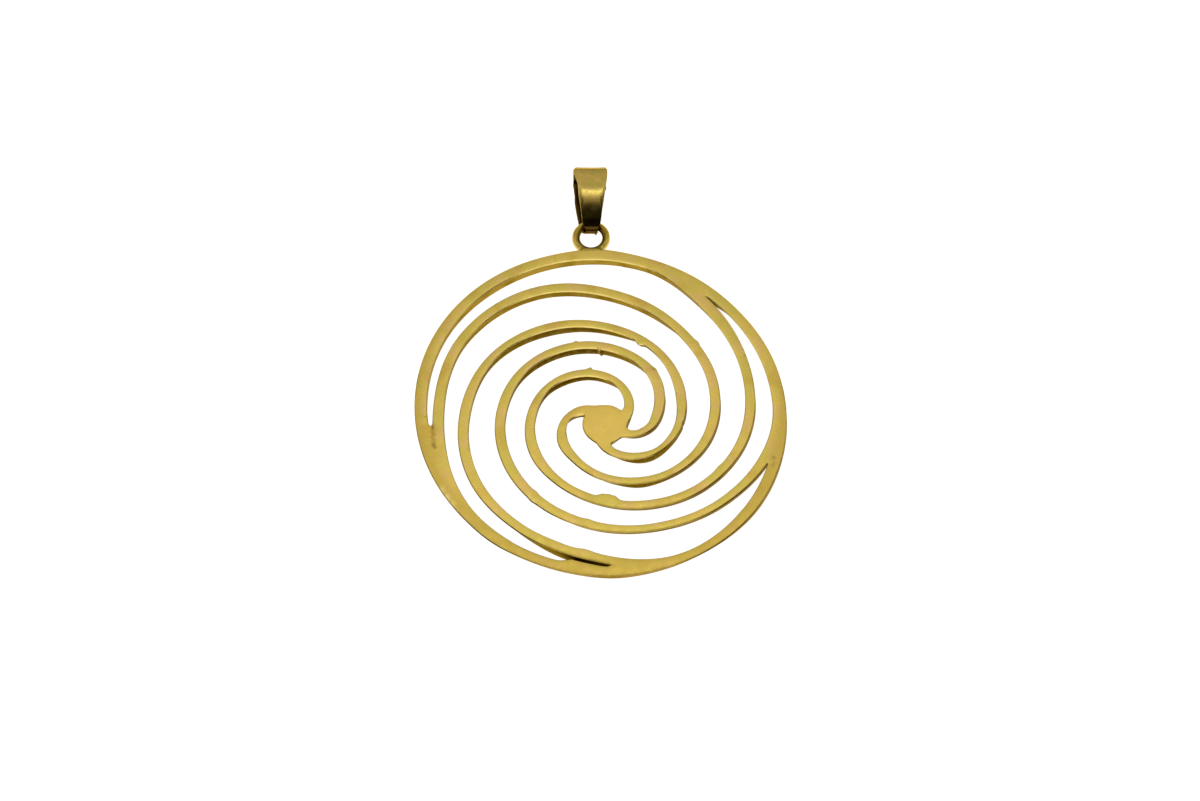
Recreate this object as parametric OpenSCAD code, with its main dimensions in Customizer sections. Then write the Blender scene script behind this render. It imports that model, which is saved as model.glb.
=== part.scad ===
// Round brass pendant with four spiral arms, a soldered ring and a folded bail.
// Millimetres. It lies face up on z = 0, with the origin under the middle of the hub and the bail towards +Y.

/* [Plate] */
// Thickness of the plate
plate_t = 1.4; // [1.2:0.05:1.6]
// Long diameter of the slightly oval rim
rim_long = 51; // [50.5:0.1:52]
// Short diameter of the rim
rim_short = 48.9; // [48.5:0.1:50]
// Direction of the long diameter, counted from +X
rim_turn = 137; // [130:1:145]
// Middle of the rim, across, counted from the middle of the hub
rim_x = -0.6; // [-0.8:0.05:-0.4]
// Middle of the rim, towards the ring, counted from the middle of the hub
rim_y = 2.6; // [2.4:0.05:2.8]
// Radius of the hub
hub_r = 3; // [2.9:0.05:3.1]
// How softly two edges melt into each other
melt = 0.3; // [0.1:0.05:0.5]

/* [Ring] */
// Thickness of the ring's wire
wire_d = 1; // [0.9:0.05:1.1]
// Diameter of the ring at the middle of its wire
ring_d = 4.2; // [4.1:0.05:4.4]
// Middle of the ring, across
ring_x = -1.9; // [-2.1:0.05:-1.7]
// Middle of the ring, above the rim's top edge
ring_gap = 2.45; // [2.4:0.05:2.5]
// Height of the middle of the ring
ring_z = 0.94; // [0.92:0.01:0.98]
// Rise of the ring from the rim towards the bail
ring_tilt = 4; // [3:0.5:5]
// Length of the solder seam along the rim
solder_w = 3.6; // [3:0.1:4]

/* [Bail] */
// Length of the bail over its two bends
bail_l = 10.2; // [9.5:0.1:11]
// Greatest width of the strap, near the chain end
bail_w = 4.7; // [4.4:0.1:4.8]
// Thickness of the strap
strap_t = 0.36; // [0.3:0.02:0.38]
// Height of the bail at the chain end
bail_h = 3.8; // [3.4:0.1:4.2]
// Height of the bail at the ring
bail_foot_h = 2.16; // [2.12:0.02:2.2]
// Distance from the bend at the ring to the crease of the upper leaf
bail_crease = 4.4; // [4:0.1:5.5]
// Sideways lean of the strap, from its lower to its upper leaf
bail_lean = 7; // [0:0.5:10]

/* [Hidden] */

// Columns of the tables of the arms: turn about the hub, radius of the arm's middle, and its width
TURN = 0;
MID = 1;
WIDE = 2;
row_step = 30;
arm_a = [
    [85, 1.6, 1.6], [115, 2.2, 1.8], [145, 3.65, 2.1], [175, 5.43, 1.3], [205, 6.2, 1.5], [235, 6.62, 1.2],
    [265, 7.75, 1.15], [295, 9.4, 1.1], [325, 11.7, 1.15], [355, 14.05, 1.4], [385, 16.05, 1.45],
    [415, 17.9, 1.4], [445, 20.45, 1.5], [475, 23, 1.4], [505, 23.55, 1.35], [535, 22.45, 1.45],
    [565, 22.25, 1.3], [595, 22.5, 1.4]
];
arm_b = [
    [-5, 1.5, 2.2], [25, 3.1, 2.2], [55, 5.27, 1.55], [85, 7.2, 1.2], [115, 8.6, 1.15], [145, 9.6, 0.95],
    [175, 9.95, 1.3], [205, 10.25, 1.5], [235, 10.55, 1.2], [265, 11.4, 1.2], [295, 13.2, 1.25],
    [325, 15.9, 1.25], [355, 18.7, 1.3], [385, 20.9, 1.2], [415, 23.55, 1.7], [445, 26.8, 1]
];
arm_c = [
    [295, 0.5, 1], [325, 2.9, 1.2], [355, 5.8, 1.6], [385, 8.05, 1.5], [415, 10.2, 1.15], [445, 11.85, 1.2],
    [475, 13.07, 1.15], [505, 13.85, 1.15], [535, 14, 1.4], [565, 14.12, 1.45], [595, 14.4, 1.35],
    [625, 15.12, 1.25], [655, 16.65, 1.2], [685, 19.45, 1.15], [715, 22.65, 1.55], [745, 24.2, 1.2],
    [775, 25.6, 1.2]
];
arm_d = [
    [235, 1.3, 2.2], [265, 2.9, 2.1], [295, 5.1, 1.5], [325, 7.45, 1.2], [355, 9.6, 1.1], [385, 11.2, 1.35],
    [415, 13.25, 1.2], [445, 15, 1.2], [475, 16.9, 1.2], [505, 18.45, 1.1], [535, 18.85, 1.45],
    [565, 19.15, 1.45], [595, 19, 1.25], [625, 19.45, 1.5], [655, 22.05, 1.5], [685, 23.3, 1.4]
];
// Width of the rim at every 30 degrees about the hub
rim_wide = [1.6, 1.6, 1.6, 1.45, 1.5, 1.6, 1.75, 1.6, 1.35, 1.35, 1.25, 1.45];

// Columns of the table of the gaps: the arm inside, the arm outside and the whole turns by which it is behind,
// the turn where the gap starts at the hub, the turn of its tip, and how many degrees each end takes to open
INNER = 0;
OUTER = 1;
BEHIND = 2;
START = 3;
TIP = 4;
START_ROUND = 5;
TIP_ROUND = 6;
gaps = [
    [arm_a, arm_b, 0, 43.4, 547, 5, 6],
    [arm_b, arm_c, 360, -14.5, 415.1, 6, 3],
    [arm_c, arm_d, 0, 285.5, 704.5, 5, 3],
    [arm_d, arm_a, 0, 154, 631.8, 5, 2]
];
turn_step = 4;
end_steps = 4;
far = 99;

// Columns of the table of the casting lumps: turn about the hub, radius of the lump's middle, its own radius
lumps = [
    [264.5, 11.05, 0.5], [268, 10.95, 0.5], [271.5, 10.95, 0.5], [275, 11, 0.5], [278, 11.1, 0.5],
    [69, 13.3, 0.5], [50, 10.85, 0.4]
];
LUMP_R = 2;

ring_y = rim_r(90) + ring_gap;
// Right side of the solder: part of half its width, and height over the rim's edge
solder_side = [[1, -0.7], [1, -0.05], [0.66, 0.5]];
solder_t = 0.8;
solder_z = ring_z - ring_d/2*sin(ring_tilt);

// Columns of the table of the strap: distance from the middle of the bend at the ring as part of the bail's
// length, width as part of the greatest, and how far its middle lies to the side
ALONG = 0;
STRAP_WIDE = 1;
ASIDE = 2;
strap = [
    [-0.147, 0.17, 0], [-0.07, 0.36, 0], [0, 0.51, -0.06], [0.157, 0.6, -0.18], [0.314, 0.68, -0.25],
    [0.47, 0.76, -0.25], [0.627, 0.89, -0.16], [0.784, 1, -0.14], [0.94, 0.93, -0.2]
];
// How far the middle of the bend at the ring lies short of the middle of the ring's wire
foot_drop = 0.22;
arc_steps = 18;
foot_mid = [0, bail_foot_h/2];
top_mid = [bail_l - (bail_foot_h + bail_h)/2, bail_h/2];
crease_up = [bail_crease, bail_h] - foot_mid;
// Rise of the upper leaf from the bend at the ring to the crease
rise = atan2(crease_up[1], crease_up[0]) - asin(foot_mid[1]/norm(crease_up));

// A smooth curve through four rows, between the two in the middle
function cubic(a, b, c, d, t) = b + t*(c - a + t*(2*a - 5*b + 4*c - d + t*(3*(b - c) + d - a)))/2;
function held(i, last) = max(0, min(last, i));
function along(rows, turn, column) =
    let (last = len(rows) - 1,
         place = (turn - rows[0][TURN])/row_step,
         i = held(floor(place), last - 1))
    cubic(rows[held(i - 1, last)][column], rows[i][column], rows[i + 1][column],
          rows[held(i + 2, last)][column], place - i);
// Radius of an arm's inner (-1) or outer (1) edge; before its first row it is far inside, after its last far outside
function arm_edge(rows, turn, way) =
    turn < rows[0][TURN] ? -far :
    turn > rows[len(rows) - 1][TURN] ? far :
    along(rows, turn, MID) + way*along(rows, turn, WIDE)/2;
function soft_max(a, b) = (a + b + sqrt((a - b)*(a - b) + melt*melt))/2;
function soft_min(a, b) = (a + b - sqrt((a - b)*(a - b) + melt*melt))/2;
function round_rows(rows, turn) =
    let (n = len(rows),
         place = (turn%360 + 360)%360/row_step,
         i = floor(place))
    cubic(rows[(i + n - 1)%n], rows[i%n], rows[(i + 1)%n], rows[(i + 2)%n], place - i);

// Distance from the hub's middle to the rim's outer edge, along a turn about the hub
function rim_r(turn) =
    let (a = rim_long/2,
         b = rim_short/2,
         px = -(rim_x*cos(rim_turn) + rim_y*sin(rim_turn))/a,
         py = (rim_x*sin(rim_turn) - rim_y*cos(rim_turn))/b,
         qx = cos(turn - rim_turn)/a,
         qy = sin(turn - rim_turn)/b,
         q = qx*qx + qy*qy,
         p = px*qx + py*qy)
    (sqrt(p*p - q*(px*px + py*py - 1)) - p)/q;
function polar(turn, r) = [r*cos(turn), r*sin(turn)];

// The two edges of a gap at one turn, drawn together at its round ends
function opening(gap, turn) =
    let (from_start = min(1, (turn - gap[START])/gap[START_ROUND]),
         from_tip = min(1, (gap[TIP] - turn)/gap[TIP_ROUND]),
         open = sqrt(1 - pow(1 - min(from_start, from_tip), 2)),
         low = soft_max(hub_r, arm_edge(gap[INNER], turn, 1)),
         high = soft_min(rim_r(turn) - round_rows(rim_wide, turn),
                         arm_edge(gap[OUTER], turn + gap[BEHIND], -1)),
         half = max(0, high - low)/2*open)
    [(low + high)/2 - half, (low + high)/2 + half];
function end_turns(gap) = [for (k = [0:end_steps - 1]) 1 - cos(90*k/end_steps)];
function gap_turns(gap) = concat(
    [for (e = end_turns(gap)) gap[START] + gap[START_ROUND]*e],
    [for (t = [gap[START] + gap[START_ROUND]:turn_step:gap[TIP] - gap[TIP_ROUND] - turn_step/2]) t],
    [for (k = [end_steps:-1:1]) gap[TIP] - gap[TIP_ROUND]*(1 - cos(90*k/end_steps))],
    [gap[TIP]]);
function gap_outline(gap) =
    let (turns = gap_turns(gap), n = len(turns))
    concat([for (i = [0:n - 1]) polar(turns[i], opening(gap, turns[i])[0])],
           [for (i = [n - 2:-1:1]) polar(turns[i], opening(gap, turns[i])[1])]);

// Outline of the strap's fold seen from the side, a little inside its outer face
function bend(middle, r, first, last) =
    [for (k = [0:arc_steps])
        let (a = first + (last - first)*k/arc_steps)
        middle + r*[cos(a), sin(a)]];
function fold(inside) = concat(
    bend(foot_mid, bail_foot_h/2 - inside, 90 + rise, 270),
    bend(top_mid, bail_h/2 - inside, -90, 90),
    [[bail_crease + inside*tan(rise/2), bail_h - inside]]);

module rim_outline() {
    translate([rim_x, rim_y])
        rotate(rim_turn)
            polygon([for (u = [0:turn_step:359]) [rim_long/2*cos(u), rim_short/2*sin(u)]]);
}

module plate() {
    linear_extrude(plate_t)
        union() {
            difference() {
                rim_outline();
                for (gap = gaps)
                    polygon(gap_outline(gap));
            }
            for (lump = lumps)
                translate(polar(lump[0], lump[1]))
                    circle(lump[LUMP_R], $fn = 24);
        }
}

module ring() {
    translate([ring_x, ring_y, ring_z])
        rotate([ring_tilt, 0, 0])
            rotate_extrude($fn = 64)
                translate([ring_d/2, 0])
                    circle(d = wire_d, $fn = 32);
}

// Solder that fills the corner between the ring and the rim
module solder() {
    side = [for (p = solder_side) [p[0]*solder_w/2, p[1]]];
    translate([ring_x, rim_r(90), solder_z - solder_t/2])
        linear_extrude(solder_t)
            polygon(concat(side, [for (i = [len(side) - 1:-1:0]) [-side[i][0], side[i][1]]]));
}

module spiral_disc() {
    color([0.73, 0.6, 0.28])
        union() {
            plate();
            ring();
            solder();
        }
}

// The strap's cut in plan: narrow round the ring's wire, wide near the chain end
module strap_outline() {
    sides = [for (way = [-1, 1])
        [for (row = strap) [row[ASIDE] + way*row[STRAP_WIDE]*bail_w/2, row[ALONG]*bail_l]]];
    last = len(strap) - 1;
    polygon(concat(sides[0], [for (i = [last:-1:0]) sides[1][i]]));
}

module bail() {
    color([0.6, 0.48, 0.2])
        translate([ring_x, ring_y + ring_d/2 - foot_drop, 0])
            intersection() {
                rotate([90, 0, 90])
                    linear_extrude(3*bail_w, center = true)
                        difference() {
                            polygon(fold(0));
                            polygon(fold(strap_t));
                        }
                translate([0, 0, foot_mid[1]])
                    rotate([0, bail_lean, 0])
                        linear_extrude(4*bail_h, center = true)
                            strap_outline();
            }
}

spiral_disc();
bail();
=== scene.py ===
from math import atan, atan2, ceil, cos, degrees, exp, pi, radians, sin, sqrt, tan

import bmesh
import bpy
from mathutils import Matrix, Vector, kdtree
from mathutils.geometry import delaunay_2d_cdt


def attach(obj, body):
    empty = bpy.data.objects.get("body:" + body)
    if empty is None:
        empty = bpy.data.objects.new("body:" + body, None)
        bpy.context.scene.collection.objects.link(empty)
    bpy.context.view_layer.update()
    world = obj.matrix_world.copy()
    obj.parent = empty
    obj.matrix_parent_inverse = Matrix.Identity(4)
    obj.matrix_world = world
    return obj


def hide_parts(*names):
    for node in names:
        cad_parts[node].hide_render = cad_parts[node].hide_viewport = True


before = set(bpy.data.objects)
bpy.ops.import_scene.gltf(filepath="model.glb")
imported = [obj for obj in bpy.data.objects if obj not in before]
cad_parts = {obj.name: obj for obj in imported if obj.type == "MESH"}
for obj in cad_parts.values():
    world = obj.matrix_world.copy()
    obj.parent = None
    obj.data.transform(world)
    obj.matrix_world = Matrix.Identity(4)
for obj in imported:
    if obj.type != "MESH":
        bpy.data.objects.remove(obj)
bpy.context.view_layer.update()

MM = 0.001

# Driving sizes of the plate, in millimetres, from the middle of the hub, and how softly the arms melt into
# the hub and the rim
PLATE_T = 1.4
RIM_LONG = 51.0
RIM_SHORT = 48.9
RIM_TURN = radians(137)
RIM_X = -0.6
RIM_Y = 2.6
HUB_R = 3.0
MELT = 0.3

# Columns of the arms' tables: turn about the hub, radius of the arm's middle, and its width
TURN, MID, WIDE = 0, 1, 2
ROW_STEP = 30
# Radius that stands for an arm's edge beyond the arm's two ends
BEYOND = 99
ARM_A = [
    [85, 1.6, 1.6], [115, 2.2, 1.8], [145, 3.65, 2.1], [175, 5.43, 1.3], [205, 6.2, 1.5], [235, 6.62, 1.2],
    [265, 7.75, 1.15], [295, 9.4, 1.1], [325, 11.7, 1.15], [355, 14.05, 1.4], [385, 16.05, 1.45],
    [415, 17.9, 1.4], [445, 20.45, 1.5], [475, 23, 1.4], [505, 23.55, 1.35], [535, 22.45, 1.45],
    [565, 22.25, 1.3], [595, 22.5, 1.4],
]
ARM_B = [
    [-5, 1.5, 2.2], [25, 3.1, 2.2], [55, 5.27, 1.55], [85, 7.2, 1.2], [115, 8.6, 1.15], [145, 9.6, 0.95],
    [175, 9.95, 1.3], [205, 10.25, 1.5], [235, 10.55, 1.2], [265, 11.4, 1.2], [295, 13.2, 1.25],
    [325, 15.9, 1.25], [355, 18.7, 1.3], [385, 20.9, 1.2], [415, 23.55, 1.7], [445, 26.8, 1],
]
ARM_C = [
    [295, 0.5, 1], [325, 2.9, 1.2], [355, 5.8, 1.6], [385, 8.05, 1.5], [415, 10.2, 1.15], [445, 11.85, 1.2],
    [475, 13.07, 1.15], [505, 13.85, 1.15], [535, 14, 1.4], [565, 14.12, 1.45], [595, 14.4, 1.35],
    [625, 15.12, 1.25], [655, 16.65, 1.2], [685, 19.45, 1.15], [715, 22.65, 1.55], [745, 24.2, 1.2],
    [775, 25.6, 1.2],
]
ARM_D = [
    [235, 1.3, 2.2], [265, 2.9, 2.1], [295, 5.1, 1.5], [325, 7.45, 1.2], [355, 9.6, 1.1], [385, 11.2, 1.35],
    [415, 13.25, 1.2], [445, 15, 1.2], [475, 16.9, 1.2], [505, 18.45, 1.1], [535, 18.85, 1.45],
    [565, 19.15, 1.45], [595, 19, 1.25], [625, 19.45, 1.5], [655, 22.05, 1.5], [685, 23.3, 1.4],
]
# Width of the rim at every 30 degrees about the hub
RIM_WIDE = [1.6, 1.6, 1.6, 1.45, 1.5, 1.6, 1.75, 1.6, 1.35, 1.35, 1.25, 1.45]

# Gaps: the arm inside, the arm outside and how many degrees it is behind, the turns of the start and of the
# tip, how many degrees each end takes to open, how many degrees before the tip are a slit, and its width
GAPS = {
    "a": (ARM_A, ARM_B, 0, 43.4, 540.6, 5, 1.2, 0, 0),
    "b": (ARM_B, ARM_C, 360, -14.5, 415.1, 6, 0.6, 5, 0.58),
    "c": (ARM_C, ARM_D, 0, 285.5, 704.5, 5, 2, 0, 0),
    "d": (ARM_D, ARM_A, 0, 154, 631.8, 5, 1.5, 14, 0.5),
}
# How much a slit opens with each degree before its even part, and how softly it does
SLIT_OPENS, SLIT_SOFT = 0.16, 0.12
# Marks and slow waves of the gaps' edges: gap, its low or high side, turn, how far the metal stands into
# the gap (under 0 for a nick), and the half width in degrees
LOW, HIGH = 0, 1
MARKS = [
    ("a", HIGH, 268.2, 0.48, 3.3), ("a", HIGH, 273.4, 0.64, 3.3), ("a", HIGH, 277.4, 0.42, 2.1),
    ("c", HIGH, 429.7, 0.36, 1.9), ("c", LOW, 410.5, 0.15, 2.6), ("c", LOW, 467.1, 0.19, 1.0),
    ("b", LOW, 102.5, 0.36, 1.1), ("b", LOW, 104.8, 0.18, 1.6), ("b", HIGH, 93.5, 0.3, 0.9),
    ("a", LOW, 405.2, 0.15, 1.5), ("b", HIGH, 228, 0.1, 2), ("b", HIGH, 261.5, 0.12, 2.5),
    ("a", HIGH, 336.8, 0.11, 2), ("d", LOW, 361.2, -0.1, 1), ("c", HIGH, 622.5, 0.16, 3),
    ("c", LOW, 590, 0.1, 2.5), ("c", HIGH, 386.7, -0.1, 0.5),
    ("c", LOW, 406, 0.38, 22), ("c", HIGH, 332, -0.25, 14),
    ("c", HIGH, 616, -0.12, 6), ("c", HIGH, 632, -0.3, 14), ("c", HIGH, 665, -0.13, 22),
    ("d", HIGH, 546, 0.16, 14), ("d", LOW, 385, 0.15, 18), ("b", LOW, 378, 0.22, 24),
    ("b", HIGH, 287, -0.15, 20), ("b", HIGH, 362, -0.14, 10), ("b", HIGH, 2, -0.22, 8),
    ("a", LOW, 158, -0.2, 36), ("a", LOW, 92, -0.1, 12), ("a", LOW, 445, -0.13, 12),
]
# Swellings of the rim's outer edge: turn, height, half width in degrees
RIM_MARKS = [(92, 0.3, 9), (45, -0.1, 12), (230, 0.15, 9), (330, 0.12, 16)]

# How far the foot of the walls lies to the right and up of the top's edge, as the lean of the cut shows
FOOT_SHIFT = (0.25, -0.02)
# Places where a wall's foot stands further out (over 0) or in: gap or rim, side, turn, reach, half width
FOOT_MARKS = [
    ("a", HIGH, 62, -0.3, 10), ("c", HIGH, 428, -0.4, 12), ("d", HIGH, 408, -0.3, 10),
    ("d", HIGH, 485, -0.15, 15), ("b", HIGH, 95, 0.12, 25), ("b", HIGH, 400, -0.25, 10),
    ("c", HIGH, 473, 0.12, 12), ("a", HIGH, 110, -0.15, 10), ("a", LOW, 297, 0.35, 12),
    ("a", LOW, 256, -0.2, 12), ("d", LOW, 255, -0.4, 25), ("d", LOW, 318, 0.45, 18),
    ("c", LOW, 308, -0.5, 14), ("c", LOW, 606, -0.1, 8), ("d", LOW, 620, 0.75, 18),
    ("b", HIGH, 413.5, 0.25, 2.5), ("b", LOW, 32, -0.4, 14), ("d", HIGH, 172, -0.5, 22),
    ("rim", LOW, 303, -0.2, 15), ("rim", LOW, 272, 0.15, 8),
]

# Stains and pits of the plate's top: place, half width across and along, and how dark
SPOTS = [
    (-1.36, 1.31, 0.2, 0.1, 0.45), (2.79, 1.31, 0.14, 0.12, 0.5), (22.39, -5.2, 0.24, 0.18, 0.6),
    (19.1, 10.62, 0.14, 0.14, 0.7), (22.3, -6.15, 0.16, 0.3, 0.8), (-23.0, -0.6, 0.14, 0.55, 0.75),
    (-22.93, -1.8, 0.13, 0.7, 1.0), (-22.8, -2.9, 0.18, 0.35, 1.0), (-22.68, -3.5, 0.12, 0.4, 0.9),
    (4.28, 12.69, 0.16, 0.12, 0.7), (-6.92, 26.36, 0.06, 0.5, 0.4), (-24.0, 1.1, 0.3, 0.12, 0.35),
    (0.9, -20.75, 0.3, 0.1, 0.7), (6.75, 8.6, 0.35, 0.4, 0.4),
]
# Painted glints of the top: place, half width across and along, and how bright
GLINTS = [
    (-21.45, -10.05, 0.35, 0.5, 1.0), (-20.75, -11.15, 0.35, 0.6, 1.6), (-20.05, -12.25, 0.35, 0.6, 1.5),
    (-19.45, -13.05, 0.3, 0.4, 0.8),
    (-10.0, -10.8, 0.25, 0.35, 0.7), (-9.4, -11.6, 0.3, 0.35, 0.8), (-4.2, 1.25, 0.4, 0.3, 0.6),
]
# Dark places of the walls, grime and painted shade: place, half width across and along, and how dark
GRIME_AND_SHADE = [
    (-4.4, -18.8, 1.6, 0.8, 0.2), (-1.4, -19.2, 2.2, 0.8, 0.3), (14.9, 19.2, 1.3, 1.3, 1.0),
    (6.1, 24.2, 0.4, 0.5, 1.0),
]

# The ring, which rises a little from the rim, and the points round it and round its wire
RING_X = -1.9
RING_GAP = 2.5
RING_R = 2.12
RING_Z = 0.94
RING_TILT = radians(4)
WIRE_R = 0.54
RING_STEPS, WIRE_STEPS = 144, 32
# The solder that joins it to the rim: how softly and how far the wire swells, in which steps that is found,
# how far it stays under the plate's top and over the table, and how steeply it may rise outside the rim
SOLDER_SOFT = 1.0
SOLDER_REACH = 0.9
SOLDER_STEP = 0.02
SOLDER_UNDER = 0.03
SOLDER_FOOT = 0.08
SOLDER_RISE = 0.35

# The bail: its strap is folded round the ring's wire; sizes along it count from the middle of its bend
# there, which lies a little nearer to the hub than the wire does
STRAP_T = 0.36
FOOT_R = 1.08
FOOT_DROP = 0.22
HEAD_R = 1.9
BAIL_L = 10.2
# The front leaf: its crease with the slope below it, and the long bend further down
CREASE, CREASE_BEND, CREASE_SLOPE = 4.35, 0.15, 0.13
LEAF_BEND, LEAF_BEND_HALF = 2.7, 1.7
# The slope of the leaf's lower end is found by halving, from this one down
LEAF_STEEPEST, HALVINGS = 1.5, 30
# How far the crease rises at the strap's sides, how sharply, and along which stretch that sets in
CREASE_LIFT, CREASE_POWER, LIFT_ALONG = 1.6, 8, (1.6, 4.4)
# Near the head's end, the strap keeps one width below a height, a little further to the left
HEAD_ALONG, HEAD_ASIDE = 7.1, -0.13
UNDER_ALONG, UNDER_HEIGHT = (HEAD_ALONG, 7.5), (2.75, 1.85)
# The head is a little hollow across: depth, place and half length
DISH, DISH_AT, DISH_HALF = 0.06, 9.2, 1.2
# The burr at the foot: how far aside and along, its height, half width and half length
BURR_X, BURR_Y, BURR_H, BURR_WIDE, BURR_LONG = 0.66, -1, 0.6, 0.14, 0.15
# Columns of the strap's table: distance along the bail, width, how far its middle lies to the side, and how
# far it leans sideways for each millimetre of height over the bend at the ring
ALONG, STRAP_WIDE, ASIDE, LEAN = 0, 1, 2, 3
STRAP = [
    [-1.1, 0.8, 0.1, 0.1], [-0.9, 1.45, 0.06, 0.1], [-0.6, 2.1, -0.02, 0.13], [0, 2.55, -0.12, 0.18],
    [1.6, 3.0, -0.23, 0.17], [3.2, 3.5, -0.26, 0.16], [4.8, 3.84, -0.28, 0.165], [5.6, 4.06, -0.2, 0.13],
    [6.4, 4.4, -0.17, 0.09], [7.2, 4.7, -0.13, 0.03], [7.7, 4.76, -0.11, 0.01], [8.1, 4.57, -0.09, 0],
    [8.45, 4.3, -0.09, 0], [8.8, 3.95, -0.09, 0], [9.2, 3.8, -0.09, 0],
]

# The plate's top: the slope along its edges, wider where they look towards the camera, and a soft crown
TOP_EDGE, FAR_EDGE, EDGE_FACING = 0.12, 0.05, (-0.4, 0.2)
TOP_SLOPE = 0.9
TOP_CROWN, CROWN_REACH = 0.02, 0.6
# Edges that turn by more than this look sharp
SHARP = radians(30)
# How far the feet of the plate's walls lie inside the top's edge: on the gaps' high sides only where the
# wall looks to the left or right, and on the low sides and the rim more where it looks to the front or back
HIGH_DRAFT, HIGH_FLANK = 0.3, (0.95, 0.45)
LOW_DRAFT, LOW_FRONT_DRAFT = 0.12, 0.26
# Over how many points to each side that is eased
DRAFT_EASE = 8
# The round of the walls' feet, and how far past it the net of points of the underside starts
FOOT_ROUND, FOOT_CLEAR = 0.14, 0.3
# The plate's mesh: distance between points along the edges, the least share of it at round ends, and how
# many steps the half width of a mark has, out to this many half widths
SPACING = 0.2
END_STEP = 0.12
MARK_STEPS, MARK_REACH = 4, 2.5
# Over how many points to each side the way into the metal is eased
EASE = 2
# Extra points beside the edges of the top and of the foot, nearest to their own edge by this share, and
# the levels of the walls' points
TOP_RINGS = (0.06, 0.12, 0.17, 0.25, 0.36, 0.48)
FOOT_RINGS = (0.05, 0.14)
OWN_EDGE = 0.9
WALL_LEVELS = (1, 0.96, 0.8, 0.6, 0.4, 0.2, 0)
# The net of points between the edges: its step and, as a share of that, the distance between its rows
NET_STEP, NET_ROWS = 0.45, 0.87
# Points as near as this are one, in the triangulation and in the finished mesh, and a length near nothing
TOUCHING, WELD, TINY = 1e-5, 0.002, 1e-12
# The strap's mesh: its rounded corners, steps along it, columns in each half, and points of its side faces
STRAP_ROUND = 0.08
STRAP_STEP = 0.2
STRAP_COLUMNS = 10
SIDE_TURNS = ((-1, -60), (-1, -30), (-1, 0), (1, 0), (1, 30), (1, 60))

# Paint: shares of depth, which on the bail is painted shade, of painted highlight, and of stain with
# painted shade. Each pair says where a share is none and where it is full.
# Walls of the plate start at a depth, as a share of its thickness; the rim's own lies this near to its edge
WALL_FROM, RIM_WALL = 0.11, 0.5
# Grime and painted shade of the gaps' walls are full up to a distance from the hub and fade over the next,
# and are less where the walls look outward or to the left and at their feet; the rim's wall has painted
# shade at its foot only
GRIME_SHADE_FULL, GRIME_SHADE_FADE = 8, 17
OUTWARD_GRIME_SHADE, INWARD = 0.75, (0, 0.25)
LEFT_LIT, LEFTWARD = 0.7, (-0.1, -0.5)
FOOT_LIT, FOOT_DEPTH = 0.3, (0.5, 0.8)
RIM_FOOT_SHADE, RIM_FOOT_DEPTH = 0.5, (0.8, 0.95)
# Slopes along the top's near edges get a painted highlight where they look to the hub and painted shade
# where they don't, and a fainter painted shade follows the outer edges
SLOPE_LOW, SLOPE_HIGH, SLOPE_NEAR = (0.15, 0.35), (0.98, 0.9), (0, -0.15)
SLOPE_SHADE = 0.4
LINE_SHADE, LINE_NEAR, LINE_OUTWARD = 0.16, (0, -0.05), (0, 0.5)
# The ring: the depth share that its paint gives it, how much more it gets on its inner side, which brings
# in the walls' colour there, and how much darker that side is painted
RING_DEPTH, RING_DEEPER, RING_DEEPER_IN = 0.085, 0.04, (-0.6, 0.3)
RING_INNER_DARK, RING_DARK_IN = 0.55, (0, 0.6)
# The bail: its inner faces, painted in shade; its front leaf, from this height up; its side faces, lower
# front and borders, which are painted in shade; its right side face, lower front and fold, which get more
# painted shade; and the painted highlight of the crease
BAIL_INSIDE = (0.6, 0, 0.9)
FRONT_HEIGHT = (0.6, 1.2)
SIDE_DARK, SIDEWARD = 0.45, (0.45, 0.95)
LOW_DARK, LOW_ALONG = 0.55, (3.4, 2.0)
BORDER_DARK, BORDER_ACROSS, BORDER_ALONG = 0.75, (0.74, 0.88), (4.4, 3.6)
RIGHT_SHADE, RIGHT_ALONG = 0.8, (4.6, 4.0)
LOW_SHADE, LOW_SHADE_ALONG = 0.3, (1.8, 0.8)
FOLD_SHADE, FOLD_ALONG = 0.9, (0.9, 0.1)
HIGHLIGHT_ABOVE, HIGHLIGHT_BELOW = 0.3, 0.8


def cubic(a, b, c, d, t):
    """A smooth curve from b to c, which also heeds the values before and after them"""
    return b + t * (c - a + t * (2 * a - 5 * b + 4 * c - d + t * (3 * (b - c) + d - a))) / 2


def held(i, last):
    return max(0, min(last, i))


def along(rows, turn, column):
    """A column of an arm's table at a turn, on a smooth curve through its rows"""
    last = len(rows) - 1
    place = (turn - rows[0][TURN]) / ROW_STEP
    i = held(int(place // 1), last - 1)
    a, b, c, d = (rows[held(i + k, last)][column] for k in (-1, 0, 1, 2))
    return cubic(a, b, c, d, place - i)


def arm_edge(rows, turn, way):
    """Radius of an arm's inner (-1) or outer (1) edge"""
    if turn < rows[0][TURN]:
        return -BEYOND
    if turn > rows[-1][TURN]:
        return BEYOND
    return along(rows, turn, MID) + way * along(rows, turn, WIDE) / 2


def soft_max(a, b):
    return (a + b + sqrt((a - b) ** 2 + MELT**2)) / 2


def soft_min(a, b, soft=MELT):
    return (a + b - sqrt((a - b) ** 2 + soft**2)) / 2


def bell(x, half):
    return exp(-((x / half) ** 2))


def soft_step(x, none, full):
    """A soft step from 0 at one place to 1 at another"""
    share = max(0, min(1, (x - none) / (full - none)))
    return share * share * (3 - 2 * share)


def marks_at(p, rows):
    """Strength of soft oval marks at a point: each row has a place, two half widths and a strength"""
    return sum(strength * bell(p.x - x, wide) * bell(p.y - y, long) for x, y, wide, long, strength in rows)


def near_turn(a, b):
    """The turn from b to a, from -180 to 180 degrees"""
    return (a - b + 180) % 360 - 180


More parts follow.
